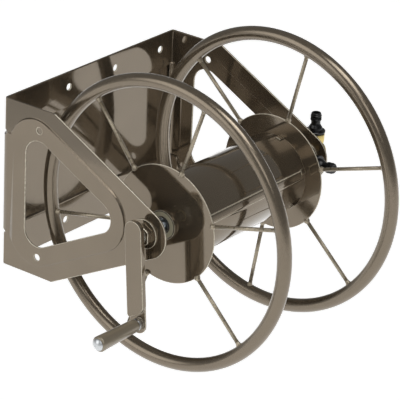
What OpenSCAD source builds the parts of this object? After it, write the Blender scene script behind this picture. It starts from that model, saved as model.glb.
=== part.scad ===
// Wall mounted hose reel: a bent steel wall bracket carries a hand-cranked drum
// with two tube rims. Water enters a swivel on the far arm, runs through a brass
// tube to an outlet that turns with the drum.
//
// +Z is up, the wall is the plane y = 0 and the reel stands out along -Y.
// The origin is the middle of the face that lies on the wall.
// The axle runs along X, the crank is at the -X end and the inlet at the +X end.

/* [Wall bracket] */
// Width over the flat borders of the two arms
plate_w = 368; // [330:1:420]
// Height of the back plate
bracket_h = 250; // [234:1:280]
// Thickness of the bracket sheet
sheet_t = 2.5; // [2:0.5:4]
// Outside radius of the two vertical bends above and below the panel
bend_r = 4; // [3.5:0.5:6]
// Outside radius of the same bends across the pressed panel
panel_bend_r = 12; // [9:0.5:14]
// How far the middle panel is pressed outward
panel_press = 3; // [2:0.5:4]
// Half height of the pressed panel at the back plate
panel_half_h = 75; // [60:1:80]
// Distance from the wall to the axle
axle_out = 254; // [245:1:290]
// Length of the straight top edge of an arm, from the wall
shoulder = 94; // [70:1:110]
// Radius of the round tip of an arm, about the axle
tip_r = 36; // [32:0.5:42]
// Radius of the corner between the top edge and the sloping edge
shoulder_r = 6; // [3:0.5:10]
// Width of the flat border outside the pressed panel
border_w = 24; // [20:0.5:27]
// Distance from the wall to the rear end of the pressed corners
panel_rear = 17; // [12:0.5:22]
// Radius of the rear corners of the pressed panel
panel_rear_r = 45; // [35:1:50]
// Radius of the front end of the pressed panel
panel_front_r = 52; // [44:1:56]
// Distance from the arm's sloping edge to its window
window_inset = 50; // [46:0.5:56]
// Distance from the wall to the window
window_rear = 45.5; // [40:0.5:60]
// Radius of the window's corners
window_r = 23.5; // [12:0.5:26]
// Diameter of the holes for wall screws and of the holes in the arms
hole_d = 9.5; // [6:0.5:11]
// Spacing of the holes along the back plate
hole_pitch = 102; // [80:1:104]
// Number of holes in each row of the back plate
hole_count = 4; // [2:1:4]
// Distance from the top or bottom edge to a row of holes
hole_edge = 23; // [12:0.5:28]
// Height of each hole in an arm above or below the axle
arm_hole_up = 94.5; // [88:0.5:100]
// Distance of the holes in an arm from the wall
arm_hole_out = 69; // [55:0.5:80]
// Diameter of the relief holes where the pressing meets the bends
relief_d = 8; // [5:0.5:10]

/* [Reel] */
// Offset of the reel's middle from the bracket's middle
reel_x = -19.5; // [-28:0.5:0]
// Outer diameter of each rim
rim_od = 420; // [380:1:460]
// Diameter of the rim tube
rim_tube_d = 20; // [14:0.5:24]
// Wall of the rim tube
rim_wall = 1.5; // [1:0.1:2.5]
// Distance between the middles of the two rims
rim_span = 247; // [230:1:252]
// Number of spokes in each wheel
spoke_count = 6; // [4:1:8]
// Diameter of a spoke
spoke_d = 5.5; // [4:0.5:8]
// Turn of the crank side spokes about the axle
crank_side_turn = 48; // [0:1:60]
// Turn of the inlet side spokes about the axle
inlet_side_turn = 42; // [0:1:60]
// Diameter of the end discs
disc_d = 168.5; // [150:0.5:190]
// Thickness of the disc sheet
disc_t = 1.5; // [1:0.1:2.5]
// How far the outer face of a disc lies inside the middle of its rim
disc_in = 1; // [0:0.5:1.5]
// Outer diameter of the drum
drum_d = 114; // [90:1:130]
// Wall of the drum
drum_t = 1.5; // [1:0.1:2.5]
// Width of the lap seam along the drum
seam_w = 12; // [8:1:16]
// Turn of the lap seam about the axle
seam_turn = 166; // [0:1:360]
// Number of tabs that hold each end of the drum
tab_count = 6; // [3:1:8]
// Width of a tab
tab_w = 8; // [5:0.5:12]
// Length of a tab along the drum
tab_len = 9; // [6:0.5:14]
// Thickness of a tab
tab_t = 1.2; // [1:0.1:2]

/* [Axle] */
// Outer diameter of the axle tube
axle_d = 25.4; // [22:0.1:28]
// Wall of the axle tube
axle_wall = 2.5; // [2:0.1:3]
// Outer diameter of the hub collars
collar_d = 42; // [41:0.5:50]
// How far a hub collar stands out from its disc
collar_out = 5; // [3:0.5:14]
// Depth of a hub collar inside the drum
collar_in = 26; // [22:0.5:34]
// Outer diameter of the nylon bushes in the collars
bush_d = 37.4; // [34:0.1:38]
// Length of the nylon bushes in the collars
bush_len = 14; // [8:0.5:16]
// Diameter of the crank spindle
spindle_d = 12; // [10:0.5:14]
// Length of the plug at the spindle's inner end
plug_len = 22; // [16:1:30]
// Depth of the plug behind the tube's open end
plug_depth = 14; // [8:1:20]
// Diameter of the cross pins
pin_d = 5; // [3:0.5:6]

/* [Arm bearings] */
// Outer diameter of the threaded sleeves in the arms
sleeve_d = 20; // [19:0.5:24]
// Diameter of the sleeve flanges
sleeve_flange_d = 34; // [30:0.5:40]
// Thickness of the sleeve flanges
sleeve_flange_t = 2.5; // [2:0.5:4]
// Outer diameter of the bearing liners
liner_d = 16.4; // [16:0.1:17]
// Diameter of the large washers
big_washer_d = 42; // [38:0.5:50]
// Thickness of the large washers
big_washer_t = 2; // [1.5:0.1:3]
// Size of the large nuts across flats
big_nut_af = 28; // [27:0.5:34]
// Thickness of the large nuts
big_nut_t = 9; // [6:0.5:11]

/* [Crank] */
// Distance from the axle to the grip's bolt
crank_len = 124; // [100:1:150]
// How far the crank's top end stands above the axle, to its arc's middle
crank_head = 11.5; // [0:0.5:12]
// Width of the crank arm
crank_w = 27.5; // [26:0.5:34]
// Height of the pressed channel
crank_deep = 7.5; // [6:0.5:10]
// Sheet thickness of the crank arm
crank_t = 2.5; // [2:0.5:3]
// Distance from the end of the channel to the grip's bolt
channel_stop = 30; // [27:1:36]
// Height of the channel's low corner above the grip's bolt
channel_low = 10; // [10:0.5:14]
// Angle of the hanging crank from straight down
crank_angle = 4.5; // [0:0.5:15]
// How far the boss stands out behind the crank
boss_out = 5; // [2:0.5:8]
// Diameter of the boss behind the crank
boss_d = 20; // [17:0.5:22]
// Length of the grip
grip_len = 77; // [70:1:110]
// Diameter of the grip at its outer end
grip_outer_d = 22; // [20:0.5:28]
// Diameter of the grip at the crank
grip_inner_d = 18; // [16:0.5:20]
// Diameter of the grip's bolt
bolt_d = 8; // [6:0.5:9]
// Diameter of the bolt's domed head
bolt_head_d = 17; // [14:0.5:19]
// Height of the domed head
bolt_head_h = 4; // [3:0.5:6]
// Height of the spacer between crank and grip
spacer_t = 5; // [3:0.5:8]
// Size of the small nut across flats
small_nut_af = 13; // [12:0.5:14]
// Thickness of the small nut
small_nut_t = 6.5; // [5:0.5:8]

/* [Water fittings] */
// Outer diameter of the brass water tube
water_d = 14; // [12:0.5:15]
// Bore of the water way
water_bore = 8; // [6:0.5:9]
// Distance of the outlet's middle inside the far arm
outlet_in = 26; // [25:0.5:32]
// Distance of the inlet's middle outside the far arm
inlet_out = 17; // [17:0.5:22]
// Outer diameter of the brass barrels
barrel_d = 26; // [24:0.5:28]
// Outer diameter of the brass branches
branch_d = 22; // [20:0.5:24]
// Size of the hexagon at a branch's mouth, across flats
branch_af = 27; // [25:0.5:28]
// Length of the hexagon at a branch's mouth
branch_hex = 12; // [8:0.5:16]
// Height of the inlet branch above the axle
inlet_reach = 29; // [25:0.5:34]
// Reach of the outlet branch from the axle
outlet_reach = 37; // [33:0.5:46]
// Angle of the outlet branch above level, as the reel stands
outlet_lift = 6; // [0:1:30]
// Diameter of a connector's collar
collar_nut_d = 29; // [27:0.5:31]
// Height of a connector's collar
collar_nut_h = 3.5; // [3:0.5:5.5]
// Height of a hose connector
plug_h = 29.5; // [28:0.5:40]
// Diameter of the snap-in end of a connector
snap_d = 16; // [15:0.1:17]
// Bore of a connector
plug_bore = 9; // [7:0.5:10]
// Number of flutes round a connector's shoulder
flute_count = 14; // [8:1:18]

/* [Fits] */
// Radial clearance of a turning fit
run_fit = 0.06; // [0.03:0.01:0.1]
// Radial clearance of a seated fit
seat_fit = 0.02; // [0.01:0.01:0.05]
// Gap beside a turning face
side_gap = 0.5; // [0.3:0.1:1]

/* [Hidden] */
$fn = 64;

bronze = "#7d7263";
zinc = "#c3c6c8";
brass = "#d9c27e";
nylon = "#d8d2b4";
black = "#151618";

// Bracket, seen from the side: u runs from the axle towards the wall
half_h = bracket_h / 2;
shoulder_u = axle_out - shoulder;
slope = atan2(half_h, shoulder_u) - asin(tip_r / norm([half_h, shoulder_u]));
big = 1000;
// Extra radius that makes a round corner cross its straight sides cleanly
blend = 0.01;

// Places along the axle, from the middle of the reel
crank_arm_face = -plate_w / 2 - reel_x;
inlet_arm_face = plate_w / 2 - reel_x;
crank_arm_in = crank_arm_face + sheet_t;
inlet_arm_in = inlet_arm_face - sheet_t;
rim_at = rim_span / 2;
disc_at = rim_at - disc_in - disc_t;
collar_end = disc_at + disc_t + collar_out;
axle_id = axle_d - 2 * axle_wall;
bush_rest = collar_end - bush_len;
nut_end = crank_arm_face - big_washer_t - big_nut_t;
sleeve_end = nut_end - 1;
boss_face = sleeve_end - side_gap;
crank_back = boss_face - boss_out;
crank_web = crank_back - crank_deep;
plug_at = -collar_end + plug_depth;
grip_at = crank_back - crank_t - spacer_t - side_gap;
grip_end = grip_at - grip_len;
outlet_at = inlet_arm_in - outlet_in;
inlet_at = inlet_arm_face + inlet_out;
inlet_nut_face = inlet_arm_in - big_washer_t - big_nut_t;
inlet_sleeve_end = inlet_nut_face - 0.5;
outlet_face = inlet_sleeve_end - side_gap;
swivel_face = inlet_arm_face + sleeve_flange_t + side_gap;
swivel_end = inlet_at + branch_d / 2;
swivel_step = swivel_end - 3;
clip_at = swivel_step + side_gap / 2;
clip_t = 0.8;
water_end = clip_at + clip_t + 0.8;
seal_at = water_bore / 2 + 2;
seal_r = 0.63;
flat_seal_t = 1.5;
plug_ribs = 11;
channel_corner = 4;
flat_in = 0.3;
flat_lap = 3;
spigot_d = axle_id - 2 * seat_fit;
axle_past = 10;
axle_end = collar_end + axle_past;
outlet_back = outlet_at - branch_d / 2 - 2;
rim_r = rim_od / 2 - rim_tube_d / 2;
spoke_steps = [0 : spoke_count - 1];
// How far each spoke leans off its even step, in degrees
crank_side_lean = [3, 0, -3, -3, 0, 0];
inlet_side_lean = [1, 1.5, 0, 1, -3, 0];

// Distance z of a line set in from the sloping edge, for an arc of radius r at u
function line_z(inset, r, u) = (tip_r - inset - r + sin(slope) * u) / cos(slope);

// Places children on the axle: their own Z runs along +X from place x
module on_axle(x) {
    translate([reel_x + x, -axle_out, 0])
        rotate([0, 90, 0])
            children();
}

// Ring along the axle from x to x + len
module ring(x, len, outer, inner) {
    on_axle(x)
        difference() {
            cylinder(h = len, d = outer);
            translate([0, 0, -1])
                cylinder(h = len + 2, d = inner);
        }
}

// Rod along the axle from x to x + len
module rod(x, len, d) {
    on_axle(x)
        cylinder(h = len, d = d);
}

// Extrudes a side view, drawn with u towards the wall and z up, along X
module side_view(x, len) {
    translate([x, -axle_out, 0])
        rotate([90, 0, 90])
            linear_extrude(len)
                children();
}

// Rounded triangle that follows the arm's sloping edges at an inset
module arm_triangle(inset, rear, rear_r, front_r, grow = 0) {
    u_rear = axle_out - rear - rear_r;
    z_rear = line_z(inset, rear_r, u_rear);
    u_front = -(tip_r - inset - front_r) / sin(slope);
    rr = rear_r + grow;
    fr = front_r + grow;
    n = [-sin(slope), cos(slope)];
    polygon([
        [u_rear + rr, -z_rear],
        [u_rear + rr, z_rear],
        [u_rear + rr * n[0], z_rear + rr * n[1]],
        [u_front + fr * n[0], fr * n[1]],
        [u_front + fr * n[0], -fr * n[1]],
        [u_rear + rr * n[0], -z_rear - rr * n[1]]
    ]);
    for (side = [-1, 1])
        translate([u_rear, side * z_rear])
            circle(rr + blend);
    translate([u_front, 0])
        circle(fr + blend);
}

// Outline of an arm with its back plate edge
module arm_outline() {
    sr = shoulder_r;
    u_s = (cos(slope) * (half_h - sr) - (tip_r - sr)) / sin(slope);
    z_s = half_h - sr;
    n = [-sin(slope), cos(slope)];
    polygon([
        [axle_out, -half_h],
        [axle_out, half_h],
        [u_s, half_h],
        [u_s + sr * n[0], z_s + sr * n[1]],
        [tip_r * n[0], tip_r * n[1]],
        [tip_r * n[0], -tip_r * n[1]],
        [u_s + sr * n[0], -z_s - sr * n[1]],
        [u_s, -half_h]
    ]);
    for (side = [-1, 1])
        translate([u_s, side * z_s])
            circle(sr);
    circle(tip_r);
}

// Outline of the pressed panel, which reaches the back plate
module panel_outline(grow = 0) {
    arm_triangle(border_w, panel_rear, panel_rear_r, panel_front_r, grow);
    translate([axle_out - panel_rear - panel_rear_r, -panel_half_h - grow])
        square([panel_rear + panel_rear_r, 2 * (panel_half_h + grow)]);
}

// Plan of a tray with two rounded corners, open to the front
module tray_plan(half_w, back, r) {
    translate([-half_w, -big])
        square([2 * half_w, big + back - r]);
    translate([-half_w + r, back - r])
        square([2 * (half_w - r), r]);
    for (side = [-1, 1])
        translate([side * (half_w - r), back - r])
            circle(r);
}

// Part of the bent sheet inside a side view, from its outside face inward by depth
module bent_sheet(out, depth, r) {
    half_w = plate_w / 2 + out;
    back = out - panel_press;
    intersection() {
        translate([0, 0, -bracket_h])
            linear_extrude(2 * bracket_h)
                difference() {
                    tray_plan(half_w, back, r);
                    tray_plan(half_w - depth, back - depth, r - depth);
                }
        side_view(-plate_w, 2 * plate_w)
            children();
    }
}

module wall_bracket() {
    color(bronze)
        difference() {
            union() {
                bent_sheet(0, sheet_t, bend_r)
                    difference() {
                        arm_outline();
                        panel_outline(-sheet_t);
                    }
                bent_sheet(panel_press, sheet_t, panel_bend_r)
                    panel_outline();
                bent_sheet(panel_press, sheet_t + panel_press, panel_bend_r)
                    difference() {
                        panel_outline();
                        panel_outline(-sheet_t);
                    }
            }
            side_view(-plate_w, 2 * plate_w)
                arm_triangle(window_inset, window_rear, window_r, window_r);
            side_view(-plate_w, 2 * plate_w)
                for (side = [-1, 1])
                    translate([axle_out - arm_hole_out, side * arm_hole_up])
                        circle(d = hole_d);
            for (i = [0 : hole_count - 1])
                for (side = [-1, 1])
                    translate([(i - (hole_count - 1) / 2) * hole_pitch, 1, side * (half_h - hole_edge)])
                        rotate([90, 0, 0])
                            cylinder(h = panel_press + sheet_t + 2, d = hole_d);
            for (side = [-1, 1])
                for (up = [-1, 1])
                    translate([side * plate_w / 2, -panel_press, up * panel_half_h])
                        rotate([90, 0, side * 45])
                            cylinder(h = 8 * sheet_t, d = relief_d, center = true);
            on_axle(crank_arm_face - panel_press)
                cylinder(h = sheet_t + 2 * panel_press, d = sleeve_d + 2 * seat_fit);
            on_axle(inlet_arm_in - panel_press)
                cylinder(h = sheet_t + 2 * panel_press, d = sleeve_d + 2 * seat_fit);
        }
}

// Flanged sleeve that carries a turning shaft in an arm
module arm_sleeve(flange_at, body_from, body_to) {
    ring(body_from, body_to - body_from, sleeve_d, liner_d + 2 * seat_fit);
    ring(flange_at, sleeve_flange_t, sleeve_flange_d, liner_d + 2 * seat_fit);
}

// Large hexagon nut along the axle
module big_nut(x) {
    on_axle(x)
        difference() {
            intersection() {
                cylinder(h = big_nut_t, d = big_nut_af / cos(30), $fn = 6);
                cylinder(h = big_nut_t, d = big_nut_af * 1.1);
            }
            translate([0, 0, -1])
                cylinder(h = big_nut_t + 2, d = sleeve_d + 2 * seat_fit);
        }
}

module crank_side_sleeve() {
    color(zinc)
        arm_sleeve(crank_arm_in, sleeve_end, crank_arm_in + sleeve_flange_t);
}

module crank_side_liner() {
    color(nylon)
        ring(sleeve_end, crank_arm_in + sleeve_flange_t - sleeve_end, liner_d, spindle_d + 2 * run_fit);
}

module crank_side_washer() {
    color(bronze)
        ring(crank_arm_face - big_washer_t, big_washer_t, big_washer_d, sleeve_d + 2 * seat_fit);
}

module crank_side_nut() {
    color(bronze)
        big_nut(nut_end);
}

module inlet_side_sleeve() {
    color(zinc)
        arm_sleeve(inlet_arm_face, inlet_sleeve_end, inlet_arm_face + sleeve_flange_t);
}

module inlet_side_liner() {
    color(nylon)
        ring(inlet_sleeve_end, inlet_arm_face + sleeve_flange_t - inlet_sleeve_end,
            liner_d, water_d + 2 * run_fit);
}

module inlet_side_washer() {
    color(bronze)
        ring(inlet_arm_in - big_washer_t, big_washer_t, big_washer_d, sleeve_d + 2 * seat_fit);
}

module inlet_side_nut() {
    color(bronze)
        big_nut(inlet_nut_face);
}

// Tube bent to a closed ring
module rim(x) {
    on_axle(x)
        rotate_extrude($fn = 128)
            translate([rim_r, 0])
                difference() {
                    circle(d = rim_tube_d);
                    circle(d = rim_tube_d - 2 * rim_wall);
                }
}

module crank_side_rim() {
    color(bronze)
        rim(-rim_at);
}

module inlet_side_rim() {
    color(bronze)
        rim(rim_at);
}

// Round spokes between the edge of a disc and the rim tube
module spokes(x, turn, lean) {
    on_axle(x)
        difference() {
            for (i = spoke_steps)
                rotate([0, 0, 90 + turn + i * 360 / spoke_count + lean[i % len(lean)]])
                    translate([disc_d / 2 - spoke_d / 2, 0, 0])
                        rotate([0, 90, 0])
                            cylinder(h = rim_r - disc_d / 2, d = spoke_d);
            translate([0, 0, -spoke_d])
                cylinder(h = 2 * spoke_d, d = disc_d + 2 * seat_fit, $fn = 128);
            rotate_extrude($fn = 128)
                translate([rim_r, 0])
                    circle(d = rim_tube_d + 2 * seat_fit);
        }
}

module crank_side_spokes() {
    color(bronze)
        spokes(-rim_at, crank_side_turn, crank_side_lean);
}

module inlet_side_spokes() {
    color(bronze)
        spokes(rim_at, inlet_side_turn, inlet_side_lean);
}

// Flat disc with its edges broken, its inner face at place 0
module end_disc() {
    r = disc_d / 2;
    edge = disc_t / 4;
    inside = collar_d / 2 + seat_fit;
    rotate_extrude($fn = 128)
        polygon([
            [inside, 0],
            [r - edge, 0],
            [r, edge],
            [r, disc_t - edge],
            [r - edge, disc_t],
            [inside, disc_t]
        ]);
}

module crank_side_disc() {
    color(bronze)
        on_axle(-disc_at)
            mirror([0, 0, 1])
                end_disc();
}

module inlet_side_disc() {
    color(bronze)
        on_axle(disc_at)
            end_disc();
}

module drum_shell() {
    color(bronze)
        on_axle(-disc_at)
            difference() {
                union() {
                    cylinder(h = 2 * disc_at, d = drum_d, $fn = 128);
                    intersection() {
                        cylinder(h = 2 * disc_at, d = drum_d + 2 * drum_t, $fn = 128);
                        rotate([0, 0, 90 + seam_turn])
                            translate([0, -seam_w / 2, tab_len + side_gap])
                                cube([drum_d, seam_w, 2 * (disc_at - tab_len - side_gap)]);
                    }
                }
                translate([0, 0, -1])
                    cylinder(h = 2 * disc_at + 2, d = drum_d - 2 * drum_t, $fn = 128);
            }
}

// Tabs lanced from a disc and bent along the drum
module drum_tabs(x, turn) {
    r = drum_d / 2 + seat_fit;
    on_axle(x)
        for (i = [0 : tab_count - 1])
            rotate([0, 0, 90 + turn + i * 360 / tab_count])
                intersection() {
                    difference() {
                        cylinder(h = tab_len, r = r + tab_t, $fn = 128);
                        translate([0, 0, -1])
                            cylinder(h = tab_len + 2, r = r, $fn = 128);
                    }
                    translate([0, -tab_w / 2, 0])
                        cube([drum_d, tab_w, tab_len]);
                }
}

module crank_side_tabs() {
    color(bronze)
        drum_tabs(-disc_at, crank_side_turn);
}

module inlet_side_tabs() {
    color(bronze)
        drum_tabs(disc_at - tab_len, inlet_side_turn);
}

// Hub collar from its outer end inward, bored for the bush, the tube and a pin
module hub_collar() {
    len = collar_out + disc_t + collar_in;
    difference() {
        cylinder(h = len, d = collar_d);
        translate([0, 0, -1])
            cylinder(h = bush_len + 1, d = bush_d + 2 * seat_fit);
        translate([0, 0, -1])
            cylinder(h = len + 2, d = axle_d + 2 * seat_fit);
        translate([-collar_d, 0, plug_depth + plug_len / 2])
            rotate([0, 90, 0])
                cylinder(h = 2 * collar_d, d = pin_d + 2 * seat_fit);
    }
}

module crank_side_collar() {
    color(bronze)
        on_axle(-collar_end)
            hub_collar();
}

module inlet_side_collar() {
    color(bronze)
        on_axle(collar_end)
            mirror([0, 0, 1])
                hub_collar();
}

module crank_side_bush() {
    color(nylon)
        ring(-collar_end, bush_len, bush_d, axle_d + 2 * seat_fit);
}

module inlet_side_bush() {
    color(nylon)
        ring(bush_rest, bush_len, bush_d, axle_d + 2 * seat_fit);
}

// Cross hole of the drive pin, on the axle at place x
module cross_pin(x, len, d) {
    on_axle(x)
        rotate([0, 90, 0])
            cylinder(h = len, d = d, center = true);
}

module axle_tube() {
    color(zinc)
        difference() {
            ring(-collar_end, collar_end + axle_end, axle_d, axle_id);
            for (side = [-1, 1])
                cross_pin(side * (plug_at + plug_len / 2), 2 * axle_d, pin_d + 2 * seat_fit);
            cross_pin(axle_end - 2 * pin_d, 2 * axle_d, pin_d + 2 * seat_fit);
        }
}

module crank_spindle() {
    color(zinc)
        difference() {
            union() {
                rod(crank_web + crank_t, plug_at - crank_web - crank_t + 1, spindle_d);
                rod(plug_at, plug_len, spigot_d);
            }
            cross_pin(plug_at + plug_len / 2, 2 * axle_d, pin_d + 2 * seat_fit);
        }
}

module drive_pins() {
    color(zinc)
        for (side = [-1, 1])
            cross_pin(side * (plug_at + plug_len / 2), collar_d - 1, pin_d);
}

// Places children on the hanging crank: their own X runs from the axle to the grip
module on_crank(x) {
    on_axle(x)
        rotate([0, 0, -crank_angle])
            children();
}

// Outline of the pressed channel, whose end slants down to its low corner
module channel_outline(inset) {
    w = crank_w - 2 * inset;
    corner = channel_corner - inset;
    low = [crank_len - channel_low - channel_corner, w / 2 - corner];
    stop = [crank_len - channel_stop, 0];
    turn = atan2(low[1], low[0] - stop[0]) - acos((w / 2 - corner) / norm(low - stop));
    n = [cos(turn), sin(turn)];
    polygon([
        [-crank_head, w / 2],
        [-crank_head, -w / 2],
        [stop[0], -w / 2],
        stop + n * w / 2,
        low + n * corner,
        [low[0], w / 2]
    ]);
    translate([-crank_head, 0])
        circle(w / 2 + blend);
    translate(stop)
        circle(w / 2 + blend);
    translate(low)
        circle(corner + blend);
}

// Places children at the grip's bolt: their own Z runs along +X
module at_grip(x) {
    on_crank(x)
        translate([crank_len, 0, 0])
            children();
}

// Outline of the crank's flat end, a little narrower than the channel above it
module flat_outline() {
    w = crank_w - 2 * flat_in;
    reach = channel_stop + flat_lap;
    translate([crank_len - reach, -w / 2])
        square([reach, w]);
    translate([crank_len, 0])
        circle(w / 2 + blend);
}

module crank_arm() {
    color(bronze)
        on_crank(crank_web)
            difference() {
                union() {
                    linear_extrude(crank_deep)
                        channel_outline(0);
                    translate([0, 0, crank_deep - crank_t])
                        linear_extrude(crank_t)
                            flat_outline();
                }
                translate([0, 0, crank_t])
                    linear_extrude(crank_deep)
                        channel_outline(crank_t);
                translate([crank_len, 0, -1])
                    cylinder(h = crank_deep + 2, d = bolt_d + 2 * seat_fit);
            }
}

module crank_boss() {
    color(bronze)
        ring(crank_web + crank_t, boss_face - crank_web - crank_t, boss_d, spindle_d + 2 * seat_fit);
}

module handle_bolt() {
    tip = crank_back + small_nut_t + 2;
    r = bolt_head_d / 2;
    dome_r = (r * r + bolt_head_h * bolt_head_h) / (2 * bolt_head_h);
    color(zinc) {
        at_grip(grip_end - side_gap)
            cylinder(h = tip - grip_end + side_gap, d = bolt_d);
        at_grip(grip_end - side_gap)
            mirror([0, 0, 1])
                rotate_extrude()
                    intersection() {
                        translate([0, bolt_head_h - dome_r])
                            circle(dome_r, $fn = 96);
                        square([r, bolt_head_h]);
                    }
    }
}

module handle_spacer() {
    color(zinc)
        at_grip(crank_back - crank_t - spacer_t)
            difference() {
                cylinder(h = spacer_t, d = grip_inner_d - 1);
                translate([0, 0, -1])
                    cylinder(h = spacer_t + 2, d = bolt_d + 2 * seat_fit);
            }
}

module handle_washer() {
    color(zinc)
        at_grip(crank_back)
            difference() {
                cylinder(h = 1.5, d = small_nut_af * 1.3);
                translate([0, 0, -1])
                    cylinder(h = 4, d = bolt_d + 2 * seat_fit);
            }
}

module handle_nut() {
    color(zinc)
        at_grip(crank_back + 1.5)
            difference() {
                cylinder(h = small_nut_t, d = small_nut_af / cos(30), $fn = 6);
                translate([0, 0, -1])
                    cylinder(h = small_nut_t + 2, d = bolt_d + 2 * seat_fit);
            }
}

// Tapered grip that turns on its bolt
module grip() {
    ro = grip_outer_d / 2;
    ri = grip_inner_d / 2;
    color(bronze)
        at_grip(grip_end)
            difference() {
                union() {
                    cylinder(h = 2, r1 = ro - 2, r2 = ro);
                    translate([0, 0, 2])
                        cylinder(h = grip_len - 3, r1 = ro, r2 = ri);
                    translate([0, 0, grip_len - 1])
                        cylinder(h = 1, r1 = ri, r2 = ri - 1);
                }
                translate([0, 0, -1])
                    cylinder(h = grip_len + 2, d = bolt_d + 2 * run_fit);
            }
}

// Places children on the outlet branch: their own Z points out of it
module on_outlet(reach) {
    translate([reel_x + outlet_at, -axle_out, 0])
        rotate([90 - outlet_lift, 0, 0])
            translate([0, 0, reach])
                children();
}

// Places children on the inlet branch: their own Z points up
module on_inlet(reach) {
    translate([reel_x + inlet_at, -axle_out, reach])
        children();
}

// Branch of a brass fitting with a hexagon at its mouth
module branch(reach) {
    cylinder(h = reach, d = branch_d);
    translate([0, 0, reach - branch_hex])
        intersection() {
            rotate(30)
                cylinder(h = branch_hex, d = branch_af / cos(30), $fn = 6);
            cylinder(h = branch_hex, d = branch_af * 1.1);
        }
}

module outlet_elbow() {
    color(brass)
        difference() {
            union() {
                rod(outlet_back, outlet_face - outlet_back, barrel_d);
                rod(axle_end - 4 * pin_d, outlet_back - axle_end + 4 * pin_d + 1, spigot_d);
                rod(axle_end + seat_fit, outlet_back - axle_end, axle_d);
                on_outlet(0)
                    branch(outlet_reach);
            }
            rod(outlet_at, outlet_face - outlet_at + 1, water_d + 2 * seat_fit);
            rod(outlet_at - water_bore / 2, water_bore, water_bore);
            on_outlet(0)
                cylinder(h = outlet_reach + 1, d = water_bore);
            cross_pin(axle_end - 2 * pin_d, 2 * axle_d, pin_d + 2 * seat_fit);
        }
}

module outlet_pin() {
    color(zinc)
        cross_pin(axle_end - 2 * pin_d, axle_d - 1, pin_d);
}

// Flat seal under a connector
module flat_seal() {
    difference() {
        cylinder(h = flat_seal_t, d = branch_d - 3);
        translate([0, 0, -1])
            cylinder(h = 4, d = plug_bore);
    }
}

// Hose connector with a collar, a fluted shoulder and a ribbed snap-in end, base at 0
module connector() {
    r = collar_nut_d / 2;
    s = snap_d / 2;
    c = collar_nut_h;
    h = plug_h;
    neck = 1.2;
    difference() {
        rotate_extrude()
            polygon([
                [plug_bore / 2, 0],
                [r, 0],
                [r, c - 1],
                [r - 1, c],
                [s + 2.2, c],
                [s + 1.8, c + 4],
                [s - neck, c + 9],
                [s - neck, h - plug_ribs - 1.5],
                [s, h - plug_ribs],
                [s, h - 9.2],
                [s - 1.3, h - 8.2],
                [s - 1.3, h - 6.2],
                [s, h - 5.2],
                [s, h - 3.4],
                [s - 0.9, h - 2.6],
                [s - 0.9, h - 0.8],
                [s - 1.6, h],
                [plug_bore / 2, h]
            ]);
        for (i = [0 : flute_count - 1])
            rotate([0, 0, i * 360 / flute_count])
                translate([s + 2.9, 0, c + 0.5])
                    cylinder(h = 5, r = 1.2, $fn = 24);
    }
}

// Rubber ring in the groove of a connector
module connector_ring() {
    rotate_extrude()
        translate([snap_d / 2 - 0.66, plug_h - 7.2])
            circle(seal_r, $fn = 24);
}

module outlet_seal() {
    color(black)
        on_outlet(outlet_reach)
            flat_seal();
}

module outlet_connector() {
    color(black)
        on_outlet(outlet_reach + flat_seal_t)
            connector();
}

module outlet_o_ring() {
    color(black)
        on_outlet(outlet_reach + flat_seal_t)
            connector_ring();
}

// Groove round the water tube, from place x
module tube_groove(x, w, depth) {
    on_axle(x)
        difference() {
            cylinder(h = w, d = water_d + 2);
            translate([0, 0, -1])
                cylinder(h = w + 2, d = water_d - 2 * depth);
        }
}

module water_tube() {
    start = outlet_at + water_bore / 2;
    color(brass)
        difference() {
            ring(start, water_end - start, water_d, water_bore);
            tube_groove(clip_at, clip_t + 2 * seat_fit, 0.8);
            for (side = [-1, 1])
                tube_groove(inlet_at + side * seal_at - 1, 2, 2 * seal_r + 0.06);
            on_inlet(-water_d)
                cylinder(h = 2 * water_d, d = water_bore - 2);
        }
}

module swivel_o_rings() {
    color(black)
        for (side = [-1, 1])
            on_axle(inlet_at + side * seal_at)
                rotate_extrude()
                    translate([water_d / 2 - seal_r - 0.02, 0])
                        circle(seal_r, $fn = 24);
}

module swivel_body() {
    color(brass)
        difference() {
            union() {
                rod(swivel_face, swivel_end - swivel_face, barrel_d);
                on_inlet(0)
                    branch(inlet_reach);
            }
            rod(swivel_face - 1, swivel_end - swivel_face + 2, water_d + 2 * run_fit);
            rod(swivel_step, swivel_end - swivel_step + 1, barrel_d - 6);
            rod(inlet_at - water_bore / 2, water_bore, water_d + 3);
            on_inlet(0)
                cylinder(h = inlet_reach + 1, d = water_bore);
        }
}

module swivel_clip() {
    color(zinc)
        ring(clip_at + seat_fit, clip_t, water_d + 3, water_d - 1.6 + 2 * seat_fit);
}

module swivel_cap() {
    color(brass)
        rod(swivel_end, 2, barrel_d - 2);
}

module inlet_seal() {
    color(black)
        on_inlet(inlet_reach)
            flat_seal();
}

module inlet_connector() {
    color(black)
        on_inlet(inlet_reach + flat_seal_t)
            connector();
}

module inlet_o_ring() {
    color(black)
        on_inlet(inlet_reach + flat_seal_t)
            connector_ring();
}

wall_bracket();
crank_side_sleeve();
crank_side_liner();
crank_side_washer();
crank_side_nut();
inlet_side_sleeve();
inlet_side_liner();
inlet_side_washer();
inlet_side_nut();
crank_side_rim();
inlet_side_rim();
crank_side_spokes();
inlet_side_spokes();
crank_side_disc();
inlet_side_disc();
drum_shell();
crank_side_tabs();
inlet_side_tabs();
crank_side_collar();
inlet_side_collar();
crank_side_bush();
inlet_side_bush();
axle_tube();
crank_spindle();
drive_pins();
crank_boss();
crank_arm();
handle_bolt();
handle_spacer();
handle_washer();
handle_nut();
grip();
outlet_elbow();
outlet_pin();
outlet_seal();
outlet_connector();
outlet_o_ring();
water_tube();
swivel_body();
swivel_o_rings();
swivel_clip();
swivel_cap();
inlet_seal();
inlet_connector();
inlet_o_ring();
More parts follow.
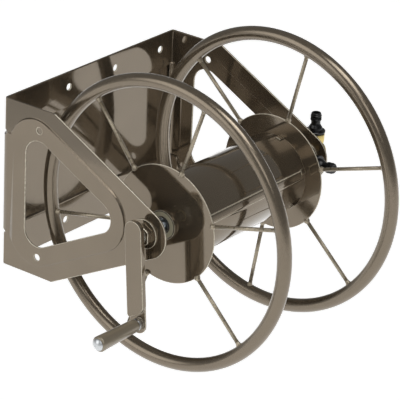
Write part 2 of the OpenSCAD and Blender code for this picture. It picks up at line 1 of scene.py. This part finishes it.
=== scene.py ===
# A wall mounted hose reel, 420 mm across the wheels, in glossy bronze paint on welded steel.
# A bent sheet bracket holds a cranked drum between two spoked tube wheels. Water enters the
# brass swivel on the far arm and leaves through the connector beside the drum.
import math
import random

import bmesh
import bpy
from mathutils import Matrix, Vector


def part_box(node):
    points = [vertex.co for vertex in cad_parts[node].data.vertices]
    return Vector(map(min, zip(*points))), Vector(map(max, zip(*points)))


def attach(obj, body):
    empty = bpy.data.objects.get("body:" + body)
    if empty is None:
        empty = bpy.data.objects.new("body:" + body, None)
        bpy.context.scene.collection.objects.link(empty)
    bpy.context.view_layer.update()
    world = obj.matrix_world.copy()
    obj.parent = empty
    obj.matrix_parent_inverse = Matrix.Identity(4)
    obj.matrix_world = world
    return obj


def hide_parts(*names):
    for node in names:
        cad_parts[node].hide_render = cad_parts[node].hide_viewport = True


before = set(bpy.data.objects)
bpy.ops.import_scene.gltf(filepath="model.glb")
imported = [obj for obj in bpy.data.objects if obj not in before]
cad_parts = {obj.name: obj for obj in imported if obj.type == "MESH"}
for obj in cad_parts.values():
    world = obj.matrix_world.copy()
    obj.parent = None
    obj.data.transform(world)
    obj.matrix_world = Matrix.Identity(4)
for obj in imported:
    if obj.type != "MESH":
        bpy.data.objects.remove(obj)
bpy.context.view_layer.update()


# Camera and light
# A long-lens studio picture taken from the left and above. The gloss mirrors a white floor,
# a room that darkens upwards and three soft boxes.
MM = 0.001


def add(tree, kind, links=None, **settings):
    """Adds a shader node, sets what it is given and links its named inputs."""
    node = tree.nodes.new(kind)
    for name, value in settings.items():
        if hasattr(node, name):
            setattr(node, name, value)
        else:
            node.inputs[name.replace("_", " ")].default_value = value
    for name, source in (links or {}).items():
        tree.links.new(source, node.inputs[name])
    return node


def set_camera():
    """Places the lens where the reel's outline meets the photo's. Azimuth 0 is the front."""
    azimuth, elevation, roll = (math.radians(a) for a in (-53.18, 24.09, 2.76))
    target = Vector((-29.0, -226.95, -10.04)) * MM
    distance = 3678.8 * MM
    back = Vector((math.sin(azimuth) * math.cos(elevation),
                   -math.cos(azimuth) * math.cos(elevation), math.sin(elevation)))
    right = Vector((math.cos(azimuth), math.sin(azimuth), 0))
    up = back.cross(right)
    right_rolled = right * math.cos(roll) + up * math.sin(roll)
    up_rolled = up * math.cos(roll) - right * math.sin(roll)
    data = bpy.data.cameras.new("camera")
    data.lens = 240.5
    data.sensor_width = 36
    data.clip_end = 20
    camera = bpy.data.objects.new("camera", data)
    bpy.context.scene.collection.objects.link(camera)
    turn = Matrix((right_rolled, up_rolled, back)).transposed().to_4x4()
    camera.matrix_world = Matrix.Translation(target + back * distance) @ turn
    bpy.context.scene.camera = camera


set_camera()
bpy.context.scene.view_settings.view_transform = "Standard"


def studio_world():
    """White to the camera. The reel mirrors a white floor, a darker room and three soft boxes."""
    world = bpy.data.worlds.new("studio")
    bpy.context.scene.world = world
    world.use_nodes = True
    tree = world.node_tree
    tree.nodes.clear()
    out = add(tree, "ShaderNodeOutputWorld")
    place = add(tree, "ShaderNodeTexCoord")
    height = add(tree, "ShaderNodeSeparateXYZ", {0: place.outputs["Generated"]})
    room = add(tree, "ShaderNodeMapRange", {"Value": height.outputs["Z"]},
               interpolation_type="SMOOTHSTEP", From_Min=-0.3, From_Max=0.12,
               To_Min=1.0, To_Max=0.18)
    level = room.outputs["Result"]
    # Soft boxes: direction, degrees to the faded edge and to the full core, strength
    boxes = (((-0.82, 0.38, 0.42), 32, 14, 1.4), ((-0.62, -0.62, 0.6), 17, 7, 1.5),
             ((0.1, -0.3, 1.0), 16, 6, 2.2))
    for direction, edge, core, strength in boxes:
        toward = add(tree, "ShaderNodeVectorMath", {0: place.outputs["Generated"]},
                     operation="DOT_PRODUCT")
        toward.inputs[1].default_value = Vector(direction).normalized()
        fade = add(tree, "ShaderNodeMapRange", {"Value": toward.outputs["Value"]},
                   interpolation_type="SMOOTHSTEP", From_Min=math.cos(math.radians(edge)),
                   From_Max=math.cos(math.radians(core)), To_Min=0.0, To_Max=strength)
        both = add(tree, "ShaderNodeMath", {0: level}, operation="ADD")
        tree.links.new(fade.outputs["Result"], both.inputs[1])
        level = both.outputs["Value"]
    tent = add(tree, "ShaderNodeBackground", {"Strength": level}, Color=(1, 1, 1, 1))
    white = add(tree, "ShaderNodeBackground", Color=(1, 1, 1, 1), Strength=1.0)
    seen = add(tree, "ShaderNodeLightPath")
    choose = add(tree, "ShaderNodeMixShader", {0: seen.outputs["Is Camera Ray"]})
    tree.links.new(tent.outputs[0], choose.inputs[1])
    tree.links.new(white.outputs[0], choose.inputs[2])
    tree.links.new(choose.outputs[0], out.inputs["Surface"])


studio_world()


def overhead_lamp():
    """One round lamp in front of the reel and above it, aimed at the drum."""
    data = bpy.data.lights.new("overhead", "AREA")
    data.shape = "DISK"
    data.size = 1.6
    data.energy = 16
    lamp = bpy.data.objects.new("overhead", data)
    bpy.context.scene.collection.objects.link(lamp)
    lamp.location = (-0.5, -1.2, 2.6)
    drum_middle = Vector((0, -0.25, 0))
    lamp.rotation_euler = (drum_middle - lamp.location).to_track_quat("-Z", "Y").to_euler()


overhead_lamp()


# Floor
# Pale matt studio paper, laid flat well below the reel. It is lit until it shows as white
# and keeps only the reel's faint shadow.
def linear(hex_colour):
    """Linear RGBA of an sRGB hex colour such as '8c806e', by the curve of the standard."""
    parts = [int(hex_colour[i:i + 2], 16) / 255 for i in (0, 2, 4)]
    return tuple(c / 12.92 if c <= 0.04045 else ((c + 0.055) / 1.055) ** 2.4 for c in parts) + (1,)


def material(name):
    """Starts an empty material and gives its tree and its output."""
    m = bpy.data.materials.new(name)
    m.use_nodes = True
    tree = m.node_tree
    tree.nodes.clear()
    return m, tree, add(tree, "ShaderNodeOutputMaterial")


def studio_floor():
    """Matt paper. To the camera and in mirrors it also glows, and so it turns white."""
    bpy.ops.mesh.primitive_plane_add(size=14, location=(0, 0, -1.25))
    floor = bpy.context.object
    floor.name = "floor"
    m, tree, out = material("floor_white")
    paper = add(tree, "ShaderNodeBsdfDiffuse", Color=linear("f4f4f3"))
    # The glow lifts the lit paper to white and leaves the reel's shadow on it
    glow = add(tree, "ShaderNodeEmission", Color=(1, 1, 1, 1), Strength=0.62)
    white = add(tree, "ShaderNodeAddShader", {0: paper.outputs[0], 1: glow.outputs[0]})
    seen = add(tree, "ShaderNodeLightPath")
    direct = seen.outputs["Is Camera Ray"]
    for ray in ("Is Glossy Ray", "Is Transmission Ray"):
        direct = add(tree, "ShaderNodeMath", {0: direct, 1: seen.outputs[ray]},
                     operation="MAXIMUM").outputs[0]
    choose = add(tree, "ShaderNodeMixShader", {0: direct})
    tree.links.new(paper.outputs[0], choose.inputs[1])
    tree.links.new(white.outputs[0], choose.inputs[2])
    tree.links.new(choose.outputs[0], out.inputs["Surface"])
    floor.data.materials.append(m)


studio_floor()


# Wall bracket
# One steel sheet, 2.5 mm thick, blanked with its windows and holes, pressed in the middle
# and bent to a back plate with two arms, then degreased and stove enamelled in bronze.
def bronze_enamel(name="bronze_enamel", tone="817564", gloss=0.08, flow=0.3, flake=0.75,
                  coat=0.03, dish=0.0):
    """Clear-coated enamel with fine metal flake: mirrors the room, uneven like sprayed paint."""
    m, tree, out = material(name)
    place = add(tree, "ShaderNodeTexCoord")
    # Orange peel of the paint film, about 4 mm across
    peel = add(tree, "ShaderNodeTexNoise", {"Vector": place.outputs["Object"]},
               Scale=1 / (4 * MM), Detail=0.0)
    # Slow unevenness of the sheet, about 45 mm across
    wave = add(tree, "ShaderNodeTexNoise", {"Vector": place.outputs["Object"]},
               Scale=1 / (45 * MM), Detail=1.0)
    shade = add(tree, "ShaderNodeValToRGB", {"Fac": wave.outputs["Fac"]})
    ramp = shade.color_ramp
    ramp.elements[0].position = 0.3
    ramp.elements[0].color = linear(tone)
    ramp.elements[1].position = 0.7
    lighter = [min(1.0, c * 1.06) for c in linear(tone)[:3]]
    ramp.elements[1].color = (*lighter, 1)
    rough = add(tree, "ShaderNodeMapRange", {"Value": peel.outputs["Fac"]},
                From_Min=0.3, From_Max=0.7, To_Min=gloss * 0.85, To_Max=gloss * 1.25)
    swell = add(tree, "ShaderNodeBump", {"Height": wave.outputs["Fac"]},
                Strength=flow, Distance=0.25 * MM)
    if dish:
        # Pressing the panel leaves its border leaning back, more and more towards the top
        height = add(tree, "ShaderNodeSeparateXYZ", {0: place.outputs["Object"]})
        lean = add(tree, "ShaderNodeMapRange", {"Value": height.outputs["Z"]},
                   From_Min=0.0, From_Max=90 * MM, To_Min=0.0, To_Max=dish)
        upward = add(tree, "ShaderNodeCombineXYZ", {"Z": lean.outputs["Result"]})
        surface = add(tree, "ShaderNodeNewGeometry")
        leaning = add(tree, "ShaderNodeVectorMath",
                      {0: surface.outputs["Normal"], 1: upward.outputs[0]})
        tree.links.new(leaning.outputs[0], swell.inputs["Normal"])
    film = add(tree, "ShaderNodeBump", {"Height": peel.outputs["Fac"], "Normal": swell.outputs[0]},
               Strength=0.05, Distance=0.005 * MM)
    paint = add(tree, "ShaderNodeBsdfPrincipled",
                {"Base Color": shade.outputs["Color"], "Roughness": rough.outputs["Result"],
                 "Normal": film.outputs[0]},
                Metallic=flake, Coat_Weight=0.5, Coat_Roughness=coat, Coat_IOR=1.5)
    tree.links.new(paint.outputs[0], out.inputs["Surface"])
    return m


enamel = bronze_enamel()
# Over a cut or bent edge the film is thin, and its pale tone there is a painted highlight, the
# fine light line that a rounded edge catches
edge_highlight = bronze_enamel("bronze_edge_highlight", tone="d6cdb9", gloss=0.25, flow=0.0, flake=0.35)
# Places of the painted edge highlight and of the border's finish among a painted piece's materials
HIGHLIGHT_SLOT = 1
BORDER_SLOT = 2


def build_piece(name, bm, finish, body, node):
    """Makes an object of a mesh, lets it ride on its body and replace its CAD node."""
    mesh = bpy.data.meshes.new(name)
    bm.normal_update()
    bm.to_mesh(mesh)
    bm.free()
    piece = bpy.data.objects.new(name, mesh)
    bpy.context.scene.collection.objects.link(piece)
    mesh.materials.append(finish)
    for face in mesh.polygons:
        face.use_smooth = True
    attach(piece, body)
    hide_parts(node)
    return piece


# Mesh points closer than this are one point
JOINED = 0.01 * MM
# Faces that meet at less than this many degrees are one flat face
FLAT_ANGLE = 0.5
# Faces that meet at more than this many degrees meet at an edge, not along a bend
EDGE_ANGLE = 60
# A step taller than this was pressed into the sheet. Cut edges are only as tall as it is thick
PRESSED_STEP = 2.8 * MM
# Rounding that the press leaves on the corners of a step
PRESSED_CORNER = 1.3 * MM
# Around a relief hole the press, the bend and the cut meet too closely to be rounded
KEPT_SHARP = 20 * MM


def step_height(edge):
    """How tall the lower of the two faces beside an edge stands from the other."""
    heights = []
    first, second = edge.link_faces
    for flat, wall in ((first, second), (second, first)):
        along = [flat.normal.dot(v.co) for v in wall.verts]
        heights.append(max(along) - min(along))
    return min(heights)


def round_sheet(node, radius, keep_away, step):
    """Copies a CAD sheet and rounds its edges, except close to some places. A pressed
    step gets soft corners in the colour of the sheet, and a cut edge gets the pale line of painted
    highlight."""
    bm = bmesh.new()
    bm.from_mesh(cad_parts[node].data)
    bmesh.ops.remove_doubles(bm, verts=bm.verts, dist=JOINED)
    bmesh.ops.dissolve_limit(bm, angle_limit=math.radians(FLAT_ANGLE), verts=bm.verts,
                             edges=bm.edges)
    same_as_beside = -1
    for corner, colour, pressed in ((PRESSED_CORNER, same_as_beside, True),
                                    (radius * MM, HIGHLIGHT_SLOT, False)):
        edges = [edge for edge in bm.edges
                 if len(edge.link_faces) == 2
                 and edge.calc_face_angle() > math.radians(EDGE_ANGLE)
                 and (step_height(edge) > step) == pressed
                 and all((v.co - Vector(p)).length > KEPT_SHARP
                         for v in edge.verts for p in keep_away)]
        bmesh.ops.bevel(bm, geom=edges, offset=corner, segments=3, profile=0.5,
                        affect="EDGES", clamp_overlap=False, material=colour)
        bm.normal_update()
    return bm


def sheet_piece(name, node, body, radius, keep_away=(), step=PRESSED_STEP):
    """Makes a painted piece of a CAD sheet. Its edges are round and its flat faces shade flat."""
    rounded = round_sheet(node, radius, keep_away, step)
    piece = build_piece(name, rounded, enamel, body, node)
    # The cut edges take the pale tone of a painted highlight
    piece.data.materials.append(edge_highlight)
    piece.data.set_sharp_from_angle(angle=math.radians(EDGE_ANGLE))
    flat = piece.modifiers.new("flat_faces", "WEIGHTED_NORMAL")
    flat.keep_sharp = True
    return piece


bracket_low, bracket_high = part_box("wall_bracket")
# Where the pressed panel meets a bend, a relief hole lies this far from the wall and mid-height
relief_depth = 3 * MM
relief_height = 75 * MM
relief_holes = [(x, -relief_depth, z) for x in (bracket_low.x, bracket_high.x)
                for z in (-relief_height, relief_height)]
bracket = sheet_piece("bracket_sheet", "wall_bracket", "bracket", 0.8, relief_holes)
bracket.data.materials.append(bronze_enamel("bronze_border", dish=0.2))
# The border's outer face on each arm lies just inside the pressed panel's
panel_press = 3 * MM
press_play = 0.5 * MM
square_to_axle = 0.999
for face in bracket.data.polygons:
    outward = abs(face.normal.x) > square_to_axle and face.normal.x * face.center.x > 0
    inset = min(abs(face.center.x - bracket_low.x), abs(face.center.x - bracket_high.x))
    if face.material_index == 0 and outward and abs(inset - panel_press) < press_play:
        face.material_index = BORDER_SLOT


# Arm bearings
# A zinc-plated flanged sleeve passes through each arm, lined with nylon and held by a large
# painted washer and nut. Their edges are broken and rounded, and carry a thin line of painted
# highlight.
def zinc_plate(name="zinc_plate", shine=0.14):
    """Bright zinc: pale, faintly blue, clouded where the plating is thicker."""
    m, tree, out = material(name)
    place = add(tree, "ShaderNodeTexCoord")
    # Clouds in the plating, about 6 mm across
    cloud = add(tree, "ShaderNodeTexNoise", {"Vector": place.outputs["Object"]},
                Scale=1 / (6 * MM), Detail=3.0)
    rough = add(tree, "ShaderNodeMapRange", {"Value": cloud.outputs["Fac"]},
                From_Min=0.3, From_Max=0.7, To_Min=shine, To_Max=2 * shine)
    shade = add(tree, "ShaderNodeValToRGB", {"Fac": cloud.outputs["Fac"]})
    shade.color_ramp.elements[0].color = linear("ccd0d3")
    shade.color_ramp.elements[1].color = linear("e0e2e3")
    steel = add(tree, "ShaderNodeBsdfPrincipled",
                {"Base Color": shade.outputs["Color"], "Roughness": rough.outputs["Result"]},
                Metallic=1.0)
    tree.links.new(steel.outputs[0], out.inputs["Surface"])
    return m


def cream_nylon():
    """Turned nylon rod: waxy and warm, with faint rings left by the lathe."""
    m, tree, out = material("cream_nylon")
    place = add(tree, "ShaderNodeTexCoord")
    # Uneven tint of the rod, about 8 mm across
    tint = add(tree, "ShaderNodeTexNoise", {"Vector": place.outputs["Object"]},
               Scale=1 / (8 * MM), Detail=2.0)
    shade = add(tree, "ShaderNodeValToRGB", {"Fac": tint.outputs["Fac"]})
    shade.color_ramp.elements[0].color = linear("bdb699")
    shade.color_ramp.elements[1].color = linear("cdc7ab")
    centred = add(tree, "ShaderNodeMapping", {"Vector": place.outputs["Object"]})
    centred.inputs["Location"].default_value = (0, -axle.y, -axle.z)
    # Rings about the axle line, coarser than the tool's real marks, which are too fine to
    # show. The pattern's own wave turns by 20 radians over a length of 1 at scale 1
    ring_gap = math.pi * MM
    rings = add(tree, "ShaderNodeTexWave", {"Vector": centred.outputs[0]}, wave_type="RINGS",
                rings_direction="X", Scale=2 * math.pi / 20 / ring_gap, Distortion=0.5)
    marks = add(tree, "ShaderNodeBump", {"Height": rings.outputs["Fac"]},
                Strength=0.3, Distance=0.03 * MM)
    body = add(tree, "ShaderNodeBsdfPrincipled",
               {"Base Color": shade.outputs["Color"], "Normal": marks.outputs[0]},
               Roughness=0.42, IOR=1.53)
    tree.links.new(body.outputs[0], out.inputs["Surface"])
    return m


def finish_node(node, finish, edge=0.0):
    """Gives a CAD node its finish and rounds its sharp edges to a radius in mm."""
    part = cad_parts[node]
    part.data.materials.clear()
    part.data.materials.append(finish)
    if edge:
        part.modifiers.new("joined", "WELD").merge_threshold = JOINED
        rounding = part.modifiers.new("rounding", "BEVEL")
        rounding.width = edge * MM
        rounding.segments = 2
        rounding.limit_method = "ANGLE"
        rounding.angle_limit = math.radians(35)
        # On enamel the rounding gets the pale tone of a painted highlight
        if finish is enamel:
            part.data.materials.append(edge_highlight)
            rounding.material = HIGHLIGHT_SLOT


# The drum turns about the line through the middle of both rims
rim_low, rim_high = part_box("crank_side_rim")
axle = Vector((0, (rim_low.y + rim_high.y) / 2, (rim_low.z + rim_high.z) / 2))
zinc = zinc_plate()
nylon = cream_nylon()
SIDES = ("crank_side", "inlet_side")
for side in SIDES:
    finish_node(side + "_washer", enamel, edge=0.7)
    finish_node(side + "_nut", enamel, edge=0.8)
    finish_node(side + "_sleeve", zinc, edge=0.4)
    finish_node(side + "_liner", nylon)


# Wheels
# Each rim is 20 mm steel tube rolled to a ring and butt welded. Six 5.5 mm rods are welded
# between it and the edge of a flat disc, and every weld leaves a small bead under the paint.
def spin(profile, steps):
    """Turns a closed list of (x, radius) points about the axle line into a mesh."""
    bm = bmesh.new()
    rings = []
    for x, r in profile:
        ring = []
        for i in range(steps):
            a = 2 * math.pi * i / steps
            ring.append(bm.verts.new((x, axle.y + r * math.cos(a), axle.z + r * math.sin(a))))
        rings.append(ring)
    for first, second in zip(rings, rings[1:] + rings[:1]):
        for i in range(steps):
            j = (i + 1) % steps
            bm.faces.new((first[i], first[j], second[j], second[i]))
    bmesh.ops.recalc_face_normals(bm, faces=bm.faces)
    return bm


# On the round tube the enamel is more satin than on the flat sheet
tube_enamel = bronze_enamel("bronze_tube_enamel", gloss=0.2, flow=0.15, coat=0.14)
# The thin rods are painted a paler tone than the tube, painted light that stands in for the fine
# light lines they show
rod_lightened_enamel = bronze_enamel("bronze_rod_enamel", tone="a89c87", gloss=0.3, flow=0.0, flake=0.6,
                           coat=0.2)
# Steps round a wheel's rim, round the rim's tube, round a disc and over a disc's edge
RIM_STEPS = 180
TUBE_STEPS = 40
DISC_STEPS = 192
EDGE_STEPS = 8


def rim(node):
    """A ring of tube, as wide as its CAD node."""
    low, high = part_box(node)
    x = (low.x + high.x) / 2
    tube = (high.x - low.x) / 2
    outer = (high.y - low.y) / 2
    profile = []
    for i in range(TUBE_STEPS):
        a = 2 * math.pi * i / TUBE_STEPS
        profile.append((x + tube * math.cos(a), outer - tube + tube * math.sin(a)))
    build_piece(node + "_tube", spin(profile, RIM_STEPS), tube_enamel, "reel",
                node)


def disc(node, hole):
    """Flat disc with a rounded edge in the pale tone of a painted highlight, and a hole for the
    collar.
    """
    low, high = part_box(node)
    radius = (high.y - low.y) / 2
    edge = (high.x - low.x) / 2
    middle = (low.x + high.x) / 2
    # Rings close to the hole and to the edge keep the faces between them flat in the light
    near_hole = hole + 1 * MM
    near_edge = radius - 3 * MM
    profile = [(low.x, hole), (low.x, near_hole), (low.x, near_edge)]
    for i in range(EDGE_STEPS + 1):
        a = math.pi * (1 - i / EDGE_STEPS)
        profile.append((middle + edge * math.cos(a), radius - edge + edge * math.sin(a)))
    profile += [(high.x, near_edge), (high.x, near_hole), (high.x, hole)]
    plate = build_piece(node + "_plate", spin(profile, DISC_STEPS), enamel, "reel",
                        node)
    plate.data.materials.append(edge_highlight)
    # The faces of the rounded edge take the painted highlight tone
    for face in plate.data.polygons:
        middle_r = (Vector((0, face.center.y, face.center.z)) - axle).length
        if middle_r > radius - edge:
            face.material_index = HIGHLIGHT_SLOT


ROD_STEPS = 20


def rod(bm, start, end, profile):
    """Adds a round body along a line, from (share of the length, radius) points."""
    along = end - start
    across = along.cross(Vector((1, 0, 0))).normalized()
    over = along.cross(across).normalized()
    rings = []
    for share, r in profile:
        ring = []
        for i in range(ROD_STEPS):
            a = 2 * math.pi * i / ROD_STEPS
            reach = r * (across * math.cos(a) + over * math.sin(a))
            ring.append(bm.verts.new(start + along * share + reach))
        rings.append(ring)
    for first, second in zip(rings, rings[1:]):
        for i in range(ROD_STEPS):
            j = (i + 1) % ROD_STEPS
            bm.faces.new((first[i], first[j], second[j], second[i]))
    bm.faces.new(rings[0])
    bm.faces.new(rings[-1])


SPOKE_R = 2.75 * MM
# How far a weld bead runs along the rod, into the rim's tube and over the disc
BEAD_RUN = 5 * MM
RIM_BITE = 0.8 * MM
DISC_LAP = 3 * MM
# Least and greatest radius of a bead at the rim and at the disc, over the rod's
RIM_BEAD = (1.45, 1.75)
DISC_BEAD = (1.5, 1.8)


def spokes(node, turn, leans, inner, outer):
    """Six rods with a bead at each end. Angles are counted from the wall side towards up."""
    low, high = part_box(node)
    centre = Vector(((low.x + high.x) / 2, axle.y, axle.z))
    bm = bmesh.new()
    lumps = random.Random(7)
    for i, lean in enumerate(leans):
        a = math.radians(turn + 360 / len(leans) * i + lean)
        way = Vector((0, math.cos(a), math.sin(a)))
        rod(bm, centre + way * inner, centre + way * outer, ((0, SPOKE_R), (1, SPOKE_R)))
        # Bead at the rim: a fillet with an uneven foot
        foot = lumps.uniform(*RIM_BEAD) * SPOKE_R
        rod(bm, centre + way * (outer - BEAD_RUN), centre + way * (outer + RIM_BITE),
            ((0, SPOKE_R), (0.3, 1.12 * SPOKE_R), (0.6, 1.25 * SPOKE_R), (0.8, foot),
             (1, 1.05 * foot)))
        # Bead at the disc: a lump that wraps the end of the rod
        lump = lumps.uniform(*DISC_BEAD) * SPOKE_R
        rod(bm, centre + way * (inner - DISC_LAP), centre + way * (inner + BEAD_RUN),
            ((0, 0.5 * lump), (0.15, 0.88 * lump), (0.4, lump), (0.65, 0.9 * lump),
             (0.85, 1.05 * SPOKE_R), (1, SPOKE_R)))
    bmesh.ops.recalc_face_normals(bm, faces=bm.faces)
    build_piece(node + "_rods", bm, rod_lightened_enamel, "reel", node)


disc_low, disc_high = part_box("crank_side_disc")
collar_low, collar_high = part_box("crank_side_collar")
disc_r = (disc_high.y - disc_low.y) / 2
collar_r = (collar_high.y - collar_low.y) / 2
rim_inner = (rim_high.y - rim_low.y) / 2 - (rim_high.x - rim_low.x)
# Degrees to a wheel's first rod, and how far hand welding left each off an even spacing
for side, turn, leans in (("crank_side", 48, (3, 0, -3, -3, 0, 0)),
                          ("inlet_side", 42, (1, 1.5, 0, 1, -3, 0))):
    rim(side + "_rim")
    disc(side + "_disc", collar_r)
    spokes(side + "_spokes", turn, leans, disc_r, rim_inner)


# Drum
# Sheet steel rolled to a tube with a lap seam and held to each disc by six bent tabs. A
# collar in the middle of each disc is bored for a cream nylon bush. The steel is all painted.
finish_node("drum_shell", enamel, edge=0.6)
for side in SIDES:
    finish_node(side + "_tabs", enamel, edge=0.55)
    finish_node(side + "_collar", enamel, edge=0.8)
    finish_node(side + "_bush", nylon, edge=0.6)


# Axle
# Zinc-plated steel tube with the crank's spindle pinned in one end. Plated cross pins lock
# the collars to it as well, and one more holds the water outlet's elbow in the other end.
for node in ("axle_tube", "crank_spindle", "drive_pins", "outlet_pin"):
    finish_node(node, zinc, edge=0.3)


# Crank and grip
# The crank is a pressed channel with rounded bends, painted with the reel. The grip is a
# tapered sleeve in a more satin paint, turning on a plated bolt with a domed head.
finish_node("crank_boss", enamel, edge=0.5)
# The channel has no pressed step: each of its edges is tight and gets the pale line of painted
# highlight
sheet_piece("crank_channel", "crank_arm", "reel", 0.6, step=math.inf)
grip_enamel = bronze_enamel("bronze_grip", tone="9a8f7c", gloss=0.34, flow=0.1, flake=0.45)
finish_node("grip", grip_enamel, edge=1.0)
# The plating of the bolt and the pieces on it is duller than the axle's
worn_zinc = zinc_plate("worn_zinc_plate", shine=0.24)
for node in ("handle_bolt", "handle_spacer", "handle_washer", "handle_nut"):
    finish_node(node, worn_zinc, edge=0.5)


# Water fittings
# Elbow, tube and swivel are hot stamped brass, machined and left bare with a fine matt skin.
# The push-on connectors are moulded in black polymer, sealed with nitrile rubber.
def stamped_brass(name="stamped_brass", dark="dcc47c", light="ecd893"):
    """Bare stamped brass: warm yellow, with the soft and slightly grainy shine of its skin."""
    m, tree, out = material(name)
    place = add(tree, "ShaderNodeTexCoord")
    # Grain of the stamped skin, about 0.8 mm across
    skin = add(tree, "ShaderNodeTexNoise", {"Vector": place.outputs["Object"]},
               Scale=1 / (0.8 * MM), Detail=3.0)
    shade = add(tree, "ShaderNodeValToRGB", {"Fac": skin.outputs["Fac"]})
    shade.color_ramp.elements[0].color = linear(dark)
    shade.color_ramp.elements[1].color = linear(light)
    grain = add(tree, "ShaderNodeBump", {"Height": skin.outputs["Fac"]},
                Strength=0.25, Distance=0.05 * MM)
    metal = add(tree, "ShaderNodeBsdfPrincipled",
                {"Base Color": shade.outputs["Color"], "Normal": grain.outputs[0]},
                Metallic=1.0, Roughness=0.36)
    tree.links.new(metal.outputs[0], out.inputs["Surface"])
    return m


def moulded_black():
    """Black polymer from a spark-eroded mould: satin, a soft light on every rib."""
    m, tree, out = material("moulded_black")
    place = add(tree, "ShaderNodeTexCoord")
    # The mould's spark texture is too fine to show, and is drawn about 0.5 mm across
    spark = add(tree, "ShaderNodeTexNoise", {"Vector": place.outputs["Object"]},
                Scale=1 / (0.5 * MM), Detail=2.0)
    rough = add(tree, "ShaderNodeMapRange", {"Value": spark.outputs["Fac"]},
                From_Min=0.3, From_Max=0.7, To_Min=0.2, To_Max=0.34)
    shade = add(tree, "ShaderNodeValToRGB", {"Fac": spark.outputs["Fac"]})
    shade.color_ramp.elements[0].color = linear("050506")
    shade.color_ramp.elements[1].color = linear("0a0a0c")
    body = add(tree, "ShaderNodeBsdfPrincipled",
               {"Base Color": shade.outputs["Color"], "Roughness": rough.outputs["Result"]},
               IOR=1.5)
    tree.links.new(body.outputs[0], out.inputs["Surface"])
    return m


def nitrile_rubber():
    """Moulded black rubber: matt and a little dusty."""
    m, tree, out = material("nitrile_rubber")
    place = add(tree, "ShaderNodeTexCoord")
    # Dust in patches about 2 mm across
    dust = add(tree, "ShaderNodeTexNoise", {"Vector": place.outputs["Object"]},
               Scale=1 / (2 * MM), Detail=3.0)
    shade = add(tree, "ShaderNodeValToRGB", {"Fac": dust.outputs["Fac"]})
    shade.color_ramp.elements[0].color = linear("101010")
    shade.color_ramp.elements[1].color = linear("1c1b1a")
    body = add(tree, "ShaderNodeBsdfPrincipled", {"Base Color": shade.outputs["Color"]},
               Roughness=0.7, IOR=1.52)
    tree.links.new(body.outputs[0], out.inputs["Surface"])
    return m


brass = stamped_brass()
plastic = moulded_black()
rubber = nitrile_rubber()
for node in ("swivel_body", "swivel_cap"):
    finish_node(node, brass, edge=0.4)
# Painted shade: the brass beside the drum is given a dark brown tone for the shade it lies in
# there
shade_darkened_brass = stamped_brass("shade_darkened_brass", dark="5f5030", light="7a6840")
for node in ("outlet_elbow", "water_tube"):
    finish_node(node, shade_darkened_brass, edge=0.4)
for node in ("outlet_connector", "inlet_connector"):
    finish_node(node, plastic, edge=0.2)
for node in ("outlet_seal", "outlet_o_ring", "swivel_o_rings", "inlet_seal", "inlet_o_ring"):
    finish_node(node, rubber)
finish_node("swivel_clip", zinc)
